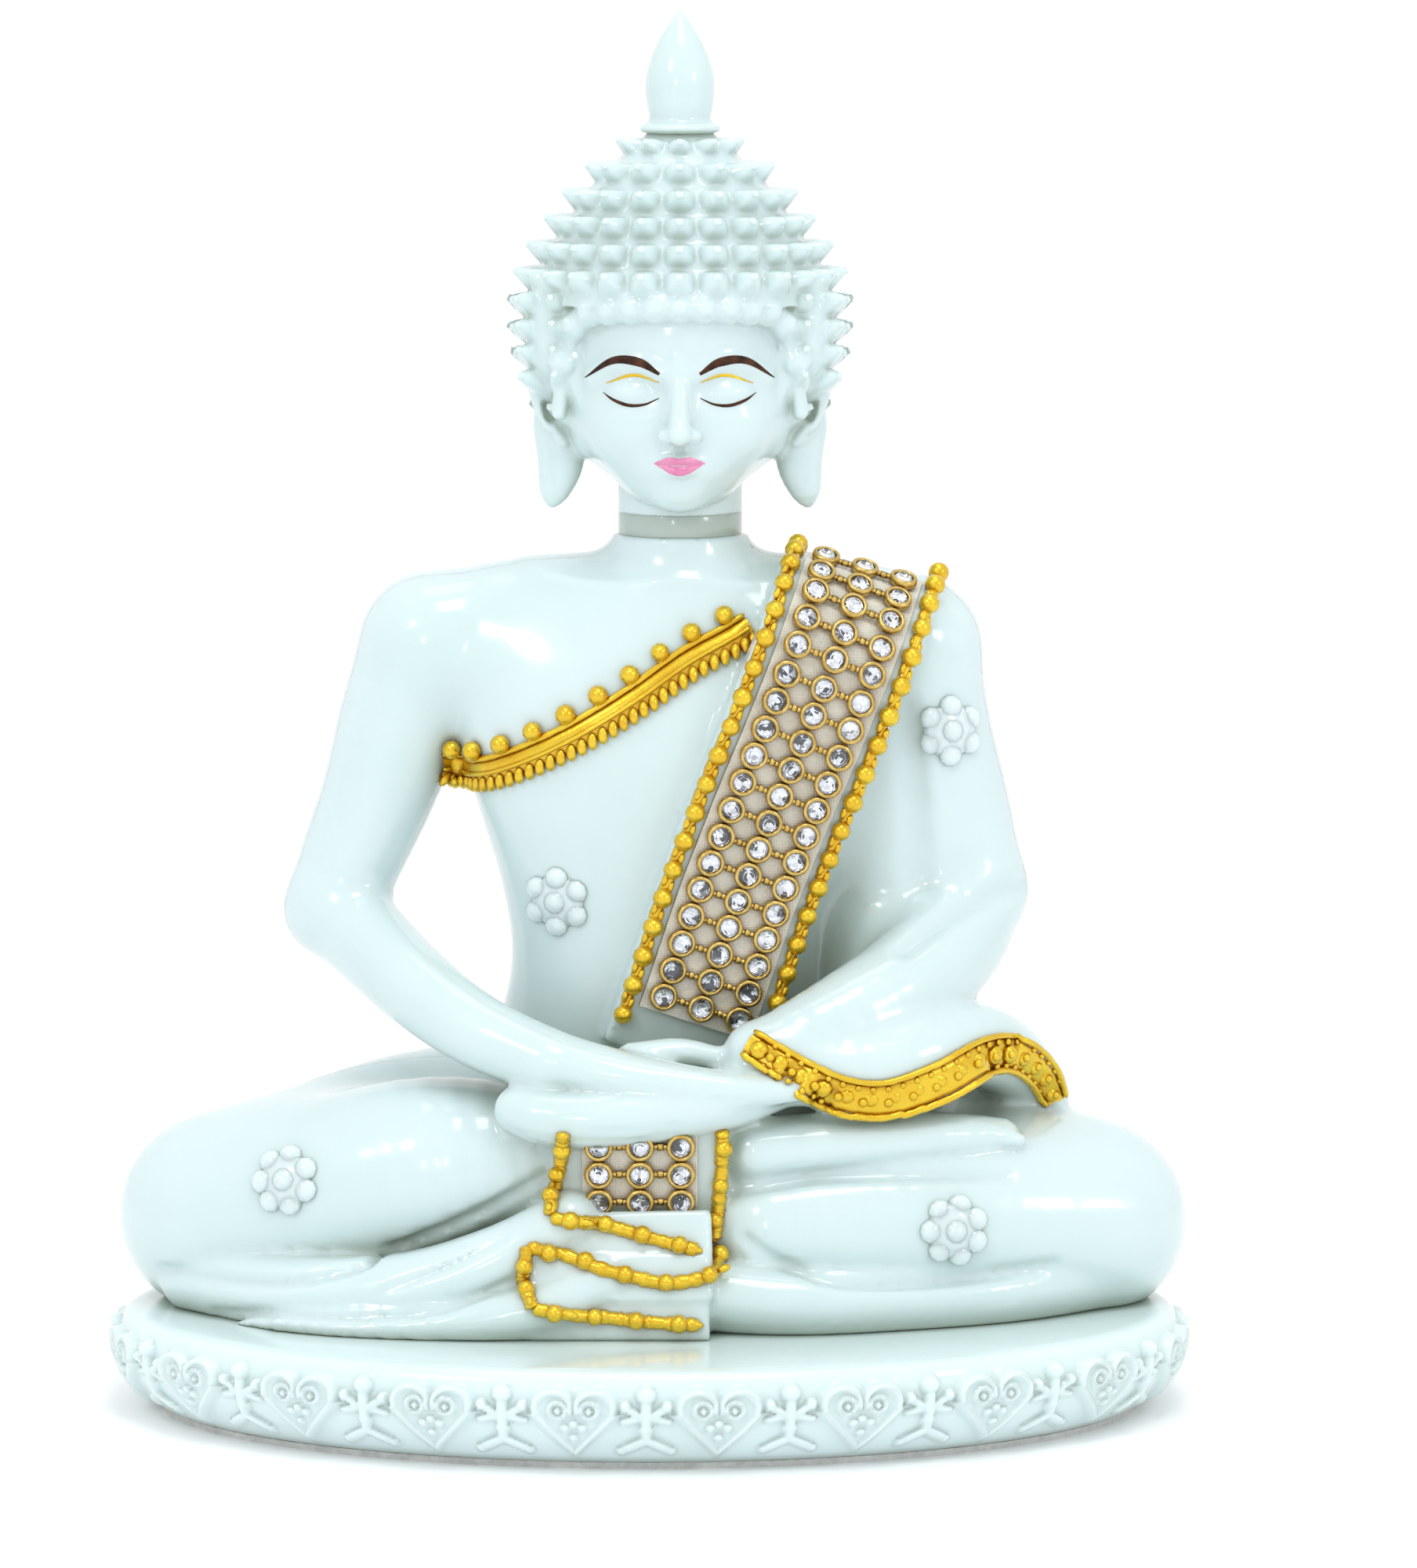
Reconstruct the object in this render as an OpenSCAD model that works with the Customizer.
// Seated figure on an oval plinth, with a sash of glass stones over one shoulder.
// The origin is the middle of the underside. +Z is up and -Y is the front. Millimetres.

/* [Plinth] */
// Width of the plinth across its rim
plinth_w = 139.4; // [137:0.2:142]
// Depth of the plinth across its rim
plinth_d = 88; // [86:0.5:91]
// Height of the plinth's top above the table
plinth_h = 13.2; // [12.8:0.1:13.6]
// How far the foot of the wall stands in from the rim
foot_inset = 5.5; // [4:0.5:6.5]
// Thickness of the plinth's wall and top
plinth_wall = 2.2; // [1.8:0.1:2.6]
// Number of hearts, and of figures between them
hearts = 20; // [18:1:22]
// Thickness of the felt pad
felt_t = 0.8; // [0.6:0.1:1]
// Thickness of the bottom plate
plate_t = 1.6; // [1.4:0.1:2]

/* [Figure] */
// Wall of the body and head shells
shell = 2.4; // [2:0.1:2.8]
// Depth at which the two body shells part
body_split = 12; // [11:0.5:13]
// How far the hems and the sash stand out
hem_h = 1.2; // [1:0.1:1.5]

/* [Head] */
// Sideways place of the neck and head
head_x = 4; // [3.6:0.1:4.4]
// Depth at which the two head shells part
head_split = 16; // [15:0.5:17]
// Widest part of the hair
hair_w = 43; // [42:0.5:44]
// Depth of the hair as a share of its width
hair_depth = 0.93; // [0.9:0.01:0.96]
// Number of rows of curls
hair_rows = 12; // [10:1:13]
// Widest part of the finial
finial_d = 9.1; // [8.6:0.1:9.4]
// Height of the whole object
total_h = 180; // [178:0.5:182]

/* [Stones] */
// Diameter of a stone
stone_d = 2.8; // [2.6:0.1:2.9]
// Outside diameter of a cup
cup_d = 3.5; // [3.4:0.05:3.6]
// Distance between columns of stones
column_pitch = 5.2; // [5:0.1:5.4]
// Distance between rows of stones on the chest
row_pitch = 3.7; // [3.65:0.01:3.75]
// Rows of stones on the chest
chest_rows = 18; // [14:1:18]

/* [Hidden] */

// Finishes
ivory = [0.88, 0.95, 0.97];
brass = [0.72, 0.55, 0.25];
glass = [0.85, 0.92, 0.96, 0.7];
milky = [0.86, 0.90, 0.88, 0.7];
felt = [0.80, 0.81, 0.80];
beige = [0.80, 0.76, 0.68];

// Small gap left between glued pieces, and the play of a plugged joint
glue = 0.04;
play = 0.15;

// Facets of the smooth rounded forms
egg_fn = 16;

// Columns of stones, counted from the middle one
columns = [-1, 0, 1];

// Locating pegs under the figure, and pins between the two body shells
peg_r = 3;
peg_drop = 5;
peg_places = [[-30, 20], [30, 20]];
pin_r = 1.2;
pin_len = 4;
pin_places = [[-33, 79], [38, 79], [-36, 15.6], [36, 15.6]];

// Neck: heights of the seam and of the sleeve's flange, and their radii
seam_z = 112.3;
flange_top = 115;
collar_r = 8;
neck_r = 7.3;
spigot_r = 5;
sleeve_bore = 3.4;
neck_y = 14;

// Crown: top of the hair and the finial's peg
crown_z = 164.6;
crown_r = 4.6;
finial_peg_r = 2;
finial_peg_len = 5;

// Side view of the hair: height and share of the full width
hair_side = [[126, 0.80], [131, 0.92], [136, 0.98], [141, 1], [145, 0.965], [149, 0.87],
             [153, 0.745], [157, 0.62], [160.5, 0.46], [crown_z, 0.25]];

// Cross-sections of the trunk: height, middle x, middle y, half width, half depth
trunk = [[20, 0, 15, 31, 21], [38, 1, 14.5, 27, 16.5], [46, 1.5, 14, 23, 14.2],
         [55, 2, 13, 20.5, 12.5], [66, 2.3, 13, 21.5, 12.8], [78, 2.8, 13, 26, 14.2],
         [88, 3.2, 13.2, 29.5, 14.8], [97, 3.4, 13.7, 31, 13.4], [103, 3.7, 14, 27, 10.8],
         [107, 3.9, 14.2, 17, 9.2], [110, head_x, neck_y, 9.5, 8.6], [seam_z, head_x, neck_y, 8, 8]];
trunk_power = 2.5;

// Line of the chest sash, from the lap over the shoulder and down the back
sash_line = [[4.4, -1.6, 46], [7.2, -1.6, 54], [11.2, -1.6, 66], [15.8, -2.6, 78], [20, -2.9, 88],
             [23.6, -1.9, 97], [26, 1.4, 103.2], [27.4, 6, 106.8], [28.4, 12, 108.4], [28.4, 18, 107.4],
             [28, 23, 103.4], [26.5, 26.4, 95], [23, 27, 84], [18, 25.4, 68], [13, 26.8, 52]];
// How far the direction across the sash turns back with the chest and forward with the back
sash_turn = [[0, 0.16], [68, 0.16], [92, -0.28]];
sash_slope = -0.2;
sash_w = 20.5;
sash_t = 4;
backing_t = 0.5;
backing_margin = 1.4;
strip_end = 2.2;
first_row_at = 6.6;

// Lap sash: middle of its top edge, width, tilt and size of the stone panel
lap_top = [-1, -18.4, 40.4];
lap_w = 22;
lap_tilt = 9;
lap_rows = 3;
lap_row_pitch = 3.7;
lap_row_start = 3.2;
lap_panel = [14.6, 10.8];

// Points of an oval, and of a squarer one with the given power
function oval(a, b, power = 2, steps = 40) =
    [for (i = [0:steps - 1]) let (t = 360 * i / steps, c = cos(t), s = sin(t))
        [a * sign(c) * pow(abs(c), 2 / power), b * sign(s) * pow(abs(s), 2 / power)]];

// Length along a line of points, the point at a length, and its direction there
function run(line, i) = i == 0 ? 0 : run(line, i - 1) + norm(line[i] - line[i - 1]);
function steps_of(line) = [for (i = [0:len(line) - 1]) run(line, i)];
function axis_at(line, s, k) =
    lookup(s, [for (i = [0:len(line) - 1]) [steps_of(line)[i], line[i][k]]]);
function point_at(line, s) = [axis_at(line, s, 0), axis_at(line, s, 1), axis_at(line, s, 2)];
function unit(v) = v / norm(v);
function along(line, s) = unit(point_at(line, s + 3) - point_at(line, s - 3));
function square_to(v, t) = unit(v - (v * t) * t);

function across(s, t) = square_to([1, lookup(s, sash_turn), sash_slope], t);

// Turns the x axis across the sash, the y axis along it and the z axis outwards
module on_sash(s, lift = 0) {
    t = along(sash_line, s);
    a = across(s, t);
    n = cross(a, t);
    p = point_at(sash_line, s) + n * lift;
    multmatrix([[a[0], t[0], n[0], p[0]], [a[1], t[1], n[1], p[1]], [a[2], t[2], n[2], p[2]],
                [0, 0, 0, 1]])
        children();
}

module on_lap(down, lift = 0)
    translate(lap_top) rotate([lap_tilt, 0, 0]) rotate([90, 0, 0]) translate([0, -down, lift]) children();

module egg(c, r) translate(c) scale(r) sphere(1, $fn = egg_fn);

module bridge(c1, r1, c2, r2) hull() {
    egg(c1, r1);
    egg(c2, r2);
}

// A limb or band: a rounded rod through a list of [x, y, z, radius]
module limb(stations)
    for (i = [0:len(stations) - 2]) hull() for (k = [i, i + 1])
        translate([stations[k][0], stations[k][1], stations[k][2]])
            sphere(stations[k][3], $fn = egg_fn);

module band(places, r) for (i = [0:len(places) - 2]) hull() for (k = [i, i + 1])
    translate(places[k]) sphere(r, $fn = 6);

// ---- Plinth, plate and pad ----

module oval_slab(inset, z, h, steps = 48)
    translate([0, 0, z]) linear_extrude(h)
        polygon(oval(plinth_w / 2 - inset, plinth_d / 2 - inset, 2, steps));

// The wall leans out to the bulge, then to the rim, and rounds in again at the top
skin = 0.05;
bulge_z = 0.5 * plinth_h;
bulge_inset = 0.27 * foot_inset;
rim_z = 0.86 * plinth_h;
rim_round = 0.9;
module plinth_form(inset, low, high) {
    hull() {
        oval_slab(foot_inset + inset, low, skin);
        oval_slab(bulge_inset + inset, bulge_z, skin);
    }
    hull() {
        oval_slab(bulge_inset + inset, bulge_z, skin);
        oval_slab(inset, rim_z, skin);
    }
    hull() {
        oval_slab(inset, min(rim_z, high - skin), skin);
        oval_slab(inset + rim_round, high - skin, skin);
    }
}

// Where each figure of the relief stands: lengths round the rim turned into angles
rim_steps = 120;
rim = concat(oval(plinth_w / 2, plinth_d / 2, 2, rim_steps), [[plinth_w / 2, 0]]);
rim_runs = steps_of(rim);
rim_angle = [for (i = [0:rim_steps]) [rim_runs[i], 360 * i / rim_steps]];
relief_z = 6.9;
wall_tilt = 21;
relief_inset = 1.75;
relief_t = 2;
relief_stand = 0.3;
relief_drop = 0.4;
module on_rim(share) {
    t = lookup(share * rim_runs[rim_steps], rim_angle);
    a = plinth_w / 2;
    b = plinth_d / 2;
    translate([(a - relief_inset) * cos(t), (b - relief_inset) * sin(t), relief_z])
        rotate([0, 0, atan2(a * sin(t), b * cos(t)) + 90]) rotate([90 + wall_tilt, 0, 0])
            translate([0, 0, -relief_t / 2]) children();
}

// Heart: two round lobes that meet in a point
lobe_at = [2.35, 1.9];
lobe_r = 2.55;
heart_tip = [0.3, -4.3];
tip_r = 0.5;
heart_stand = 0.5;
module heart() for (side = [-1, 1]) linear_extrude(relief_t + heart_stand) hull() {
    translate([side * lobe_at[0], lobe_at[1]]) circle(lobe_r, $fn = 10);
    translate([side * heart_tip[0], heart_tip[1]]) circle(tip_r, $fn = 4);
}

// Bud: a ball on a stem, with a small ball at each side and a flat foot
bud_ball = [3.6, 1.3];
side_ball = [2.1, 1.2, 0.9];
stem_w = 1.4;
stem_foot = -3.4;
bud_foot = [6, 1.7];
module bud() linear_extrude(relief_t + relief_stand) {
    translate([0, bud_ball[0]]) circle(bud_ball[1], $fn = 8);
    for (side = [-1, 1]) translate([side * side_ball[0], side_ball[1]]) circle(side_ball[2], $fn = 6);
    translate([-stem_w / 2, stem_foot]) square([stem_w, bud_ball[0] - stem_foot - 1]);
    translate([-bud_foot[0] / 2, stem_foot - 1]) square(bud_foot);
}

module plinth() color(ivory) difference() {
    union() {
        plinth_form(0, felt_t, plinth_h);
        intersection() {
            for (i = [0:hearts - 1]) {
                on_rim(i / hearts) heart();
                on_rim((i + 0.5) / hearts) bud();
            }
            translate([0, 0, felt_t]) oval_slab(-relief_stand, 0, plinth_h - felt_t - relief_drop);
        }
    }
    plinth_form(plinth_wall, felt_t - skin, plinth_h - plinth_wall);
    translate([0, 0, felt_t - 1]) oval_slab(foot_inset + plinth_wall - 0.4, 0, plate_t + 1);
    for (p = peg_places) translate([p[0], p[1], 0]) cylinder(h = plinth_h + 1, r = peg_r + play, $fn = 24);
}

module bottom_plate() color(ivory) oval_slab(foot_inset + plinth_wall - 0.2 + play, felt_t, plate_t);

module felt_pad() color(felt) oval_slab(foot_inset + 0.4, 0, felt_t);

// ---- Body ----

slab_t = 0.8;
module trunk_slab(row, inset)
    translate([row[1], row[2], row[0]]) linear_extrude(slab_t)
        polygon(oval(row[3] - inset, row[4] - inset, trunk_power, 32));

module trunk_form(inset, first, last) for (i = [first:last - 1]) hull() {
    trunk_slab(trunk[i], inset);
    trunk_slab(trunk[i + 1], inset);
}

left_arm = [[-27.5, 14.5, 97, 9], [-33, 14.5, 79, 7.6], [-40, 14, 64, 6.4], [-33, 4, 57.5, 5.4],
            [-25, -7, 52, 4.8], [-15, -13.5, 47, 4]];
right_arm = [[33, 14.5, 97, 9], [38.5, 14.5, 80, 8.2], [42, 13.5, 64, 7.8], [38, 3, 57, 7.4],
             [27, -5.5, 51, 6], [13, -12, 47, 4.2]];

module thigh(side) {
    bridge([side * 57, 7, 24.3], [11.2, 15, 10.8], [side * 24, 16, 28.5], [17, 21, 14.8]);
    bridge([side * 54, 1, 20.5], [13.5, 12, 7.6], [side * 8, -9, 20.5], [10, 8, 8]);
}

module shoulders() {
    bridge([-27.5, 14.5, 98], [8.4, 9, 8.6], [-6, 14.5, 100.6], [8, 9, 8.8]);
    bridge([33, 14.5, 98], [8.4, 9, 8.6], [14, 14.5, 100.6], [8, 9, 8.8]);
}

// Cloth that closes the space between the trunk and the covered arm
module drape() {
    bridge([30, 14.5, 88], [10, 9, 10], [33, 14.5, 60], [12, 8.6, 9]);
    bridge([33, 14.5, 60], [12, 8.6, 9], [30, 10, 42], [14, 9, 5]);
}

module hands() {
    bridge([-12, -14.6, 45.6], [5, 5.5, 2.8], [3, -16.5, 43.6], [5, 5.5, 2.3]);
    bridge([3, -16.5, 43.6], [5, 5.5, 2.3], [15, -16.5, 43], [2.6, 3.6, 1.5]);
    bridge([10, -13, 44], [5, 5.5, 2.8], [-4, -16, 41], [5, 5.5, 2.2]);
    bridge([-4, -16, 41], [5, 5.5, 2.2], [-15, -16.5, 40.6], [2.4, 3.4, 1.5]);
}

module lap() {
    bridge([-12, -1, 25], [8, 10, 9], [12, -1, 25], [8, 10, 9]);
    bridge([-16, 0, 33], [12, 14, 7.5], [16, 0, 33], [12, 14, 7.5]);
    hull() {
        translate([lap_top[0] - lap_w / 2, -17.5, plinth_h]) cube([lap_w, 10, 22]);
        translate([lap_top[0] - lap_w / 2 + 1, -15.5, plinth_h]) cube([lap_w - 2, 10, 26.6]);
    }
    on_lap(0) translate([-lap_w / 2, -27, -sash_t]) cube([lap_w, 27, sash_t]);
}

module feet() {
    bridge([-46, -13, 15.5], [6, 5, 3.5], [-22, -17, 15], [6, 5, 3]);
    bridge([48, -2, 36], [4.5, 6, 3.6], [36, -4, 38], [5, 5, 4]);
}

// A strip along the sash, from one length to another, lifted off the sash line
function strip_corners(s, width, thick, lift) =
    let (t = along(sash_line, s), a = across(s, t), n = cross(a, t), p = point_at(sash_line, s))
    [p - a * width / 2 + n * lift, p + a * width / 2 + n * lift,
     p + a * width / 2 + n * (lift + thick), p - a * width / 2 + n * (lift + thick)];

module sash_strip(width, thick, lift, from, to, steps) {
    corners = [for (i = [0:steps]) each strip_corners(from + (to - from) * i / steps, width, thick, lift)];
    sides = [for (i = [0:steps - 1]) for (k = [0:3]) let (a = 4 * i + k, b = 4 * i + (k + 1) % 4)
        each [[a, b, b + 4], [a, b + 4, a + 4]]];
    last = 4 * steps;
    polyhedron(corners, concat(sides, [[0, 2, 1], [0, 3, 2],
        [last, last + 1, last + 2], [last, last + 2, last + 3]]));
}
sash_len = steps_of(sash_line)[len(sash_line) - 1];

// Gold hems: across the chest, round the hanging sleeve, over the lap and along both edges of the sash
neckline = [[-27, 8, 80.5], [-18, 0.6, 83.4], [-8, -1.6, 88.4], [2, -1.2, 94.4], [11, 0.4, 99.6]];
sleeve_hem = [[19, -12.5, 45.5], [25, -12, 43], [31, -10.8, 41.8], [39, -5.4, 43.4], [45, 0, 44.4],
              [50, 6, 41], [53, 14, 37], [50, 26, 34]];
lap_hem = [[-14, -17.6, 30], [0, -20, 25.6], [8, -19, 23.6]];
hem_r = 2;
lap_hem_r = 1.3;
edge_step = 11;
edge_inset = 0.9;
module hems() {
    band(neckline, hem_r);
    band(sleeve_hem, hem_r);
    band(lap_hem, lap_hem_r);
    for (side = [-1, 1]) for (s = [3:edge_step:91]) hull() for (d = [0, edge_step])
        on_sash(s + d) translate([side * (sash_w / 2 - edge_inset), 0, 0]) sphere(hem_h, $fn = 6);
}

petals = 6;
petal_ring = 3.1;
petal_r = 1.5;
flower_depth = 3.4;
module flower(c, turn) translate(c) rotate([0, 0, turn]) rotate([90, 0, 0]) {
    sphere(1.7, $fn = 8);
    translate([0, 0, -flower_depth]) cylinder(h = flower_depth, r = petal_ring + 0.1, $fn = petals);
    for (i = [0:petals - 1]) rotate([0, 0, 360 * i / petals]) translate([petal_ring, 0, 0])
        sphere(petal_r, $fn = 8);
}

module flowers() {
    flower([-11.4, 1.2, 65.6], -14);
    flower([38.8, 6.6, 86.8], 8);
    flower([-46.6, -8, 29.6], -14);
    flower([39.2, -9.2, 26.4], 10);
}

module figure() {
    trunk_form(0, 0, len(trunk) - 1);
    shoulders();
    limb(left_arm);
    limb(right_arm);
    drape();
    for (side = [-1, 1]) thigh(side);
    bridge([-24, 16, 28.5], [17, 21, 14.8], [24, 16, 28.5], [17, 21, 14.8]);
    hands();
    lap();
    feet();
    sash_strip(sash_w, sash_t, -sash_t, 0, sash_len, 22);
    hems();
    flowers();
}

module figure_hollow() {
    trunk_form(shell, 1, 8);
    for (side = [-1, 1])
        bridge([side * 54, 8, 25], [10 - shell, 14 - shell, 10 - shell],
               [side * 20, 16, 28.5], [17 - shell, 20 - shell, 13.6 - shell]);
    translate([head_x, neck_y, 90]) cylinder(h = seam_z, r = spigot_r + play, $fn = 24);
}

module above_plinth() translate([-100, -100, plinth_h]) cube([200, 200, seam_z - plinth_h]);

module ahead(y) translate([-100, y - 200, 0]) cube([200, 200, total_h + 10]);

module behind(y) translate([-100, y, 0]) cube([200, 200, total_h + 10]);

module pins(grow, at) for (p = pin_places) translate([p[0], at, p[1]]) rotate([90, 0, 0])
    cylinder(h = pin_len + grow, r = pin_r + grow, $fn = 16);

module body_shell() difference() {
    intersection() {
        figure();
        above_plinth();
    }
    figure_hollow();
}

module body_front() color(ivory) difference() {
    intersection() {
        body_shell();
        ahead(body_split);
    }
    pins(play, body_split + 1);
}

module body_back() color(ivory) union() {
    intersection() {
        body_shell();
        behind(body_split);
    }
    intersection() {
        pins(0, body_split + 1);
        translate([-100, body_split - pin_len, 0]) cube([200, pin_len + 1, total_h]);
    }
    for (p = peg_places) translate([p[0], p[1], plinth_h - peg_drop])
        cylinder(h = peg_drop + 1, r = peg_r, $fn = 24);
}

// ---- Neck, head and finial ----

module neck_sleeve() color(milky) translate([head_x, neck_y, 0]) rotate_extrude($fn = 48)
    polygon([[sleeve_bore, seam_z - 8], [spigot_r, seam_z - 8], [spigot_r, seam_z], [neck_r, seam_z],
             [neck_r, flange_top], [spigot_r, flange_top], [spigot_r, flange_top + 7],
             [sleeve_bore, flange_top + 7]]);

hair_y = 16.6;
function hair_share(z) = lookup(z, hair_side);

// Hair: one saw-toothed ring for each row of curls
module hair() translate([head_x, hair_y, 0]) scale([1, hair_depth, 1]) rotate_extrude($fn = 36)
    polygon(concat([[0, hair_side[0][0]]],
        [for (i = [0:2 * hair_rows]) let (z = hair_side[0][0] + (crown_z - hair_side[0][0]) * i
            / (2 * hair_rows)) [max(crown_r, hair_w / 2 * hair_share(z) - (i % 2 == 1 ? 0 : 1.4)), z]],
        [[0, crown_z]]));

module face_window() bridge([head_x, -9, 130], [15, 18, 15.6], [head_x, -9, 120], [14.6, 18, 14]);

module ear(side) {
    bridge([head_x + side * 15.2, 15, 130], [2.2, 4.4, 6], [head_x + side * 15.6, 13.6, 119.5], [1.8, 2.6, 3.6]);
}

module face() {
    bridge([head_x, 14.6, 134.5], [14, 15.8, 15], [head_x, 13, 126], [12.6, 13.2, 9]);
    bridge([head_x, 13, 126], [12.6, 13.2, 9], [head_x, 8.6, 121.8], [6.6, 8, 5.4]);
    bridge([head_x, 0.2, 134.5], [1, 1.2, 1.2], [head_x, -1.8, 128.4], [1.9, 1.9, 1.4]);
    bridge([head_x - 2.6, 0.6, 124.4], [1, 1.1, 0.8], [head_x + 2.6, 0.6, 124.4], [1, 1.1, 0.8]);
    for (side = [-1, 1])
        bridge([head_x + side * 3.6, 0.7, 134.2], [1.6, 1.4, 1.2], [head_x + side * 8, 2.4, 134], [1.4, 1.4, 1]);
    for (side = [-1, 1]) ear(side);
    translate([head_x, neck_y, flange_top]) cylinder(h = 8, r = neck_r, $fn = 32);
}

module head_form() {
    difference() {
        hair();
        face_window();
    }
    face();
}

module head_hollow() {
    bridge([head_x, 15.5, 137], [14 - shell, 15.4 - shell, 14.6 - shell],
           [head_x, 14.5, 129], [11 - shell, 11 - shell, 8]);
    translate([head_x, neck_y, flange_top - 1]) cylinder(h = 14, r = spigot_r + play, $fn = 24);
    translate([head_x, hair_y, crown_z - 20]) cylinder(h = 21, r = finial_peg_r + play, $fn = 24);
}

module head_shell() difference() {
    intersection() {
        head_form();
        translate([-60, -60, flange_top]) cube([120, 120, crown_z - flange_top]);
    }
    head_hollow();
}

module head_front() color(ivory) intersection() {
    head_shell();
    ahead(head_split);
}

module head_back() color(ivory) intersection() {
    head_shell();
    behind(head_split);
}

disc_t = 0.8;
flame_z = 6.4;
flame_foot = 0.9;
module finial() color(ivory) translate([head_x, hair_y, 0]) rotate_extrude($fn = 48)
    polygon(concat([[0, crown_z - finial_peg_len], [finial_peg_r, crown_z - finial_peg_len],
            [finial_peg_r, crown_z], [crown_r, crown_z], [crown_r, crown_z + disc_t]],
        [for (i = [0:4]) [finial_d / 2 * (flame_foot + (1 - flame_foot) * sin(90 * i / 4)),
            crown_z + disc_t + (flame_z - disc_t) * i / 4]],
        [for (i = [1:9]) let (u = i / 10) [finial_d / 2 * pow(cos(90 * u), 1.15),
            crown_z + flame_z + (total_h - crown_z - flame_z) * u]],
        [[0, total_h]]));

// ---- Stones, cups and backing ----

cup_h = 1.1;
cup_floor = 0.3;
module cup() rotate_extrude($fn = 24)
    polygon([[0, 0], [cup_d / 2, 0], [cup_d / 2, cup_h], [stone_d / 2 + 0.04, cup_h],
             [stone_d / 2 + 0.04, cup_floor], [0, cup_floor]]);

stone_h = 1.3;
stone_girdle = 0.6;
table_share = 0.55;
module stone() translate([0, 0, cup_floor + glue]) rotate_extrude($fn = 24)
    polygon([[0, 0], [stone_d / 2, 0], [stone_d / 2, stone_girdle],
             [stone_d / 2 * table_share, stone_h], [0, stone_h]]);

link_r = 0.3;
module cup_row() union() {
    for (c = columns) translate([c * column_pitch, 0, 0]) cup();
    for (c = [-0.5, 0.5]) translate([c * column_pitch, 0, cup_h / 2]) rotate([0, 90, 0])
        cylinder(h = column_pitch - cup_d + 0.3, r = link_r, center = true, $fn = 16);
}

module stone_row() for (c = columns) translate([c * column_pitch, 0, 0]) stone();

module each_chest_row() for (i = [0:chest_rows - 1])
    on_sash(first_row_at + i * row_pitch, backing_t + 2 * glue) children();

module each_lap_row() for (i = [0:lap_rows - 1])
    on_lap(lap_row_start + i * lap_row_pitch, backing_t + 2 * glue) children();

module chest_backing() color(beige)
    sash_strip(2 * column_pitch + cup_d + backing_margin, backing_t, glue, first_row_at - strip_end,
               first_row_at + (chest_rows - 1) * row_pitch + strip_end, chest_rows + 1);

module chest_cups() color(brass) each_chest_row() cup_row();

module chest_stones() color(glass) each_chest_row() stone_row();

module lap_backing() color(beige) on_lap(lap_row_start - 2.4, glue)
    translate([-lap_panel[0] / 2, -lap_panel[1], 0]) cube([lap_panel[0], lap_panel[1], backing_t]);

module lap_cups() color(brass) each_lap_row() cup_row();

module lap_stones() color(glass) each_lap_row() stone_row();

plinth();
bottom_plate();
felt_pad();
body_front();
body_back();
neck_sleeve();
head_front();
head_back();
finial();
chest_backing();
chest_cups();
chest_stones();
lap_backing();
lap_cups();
lap_stones();
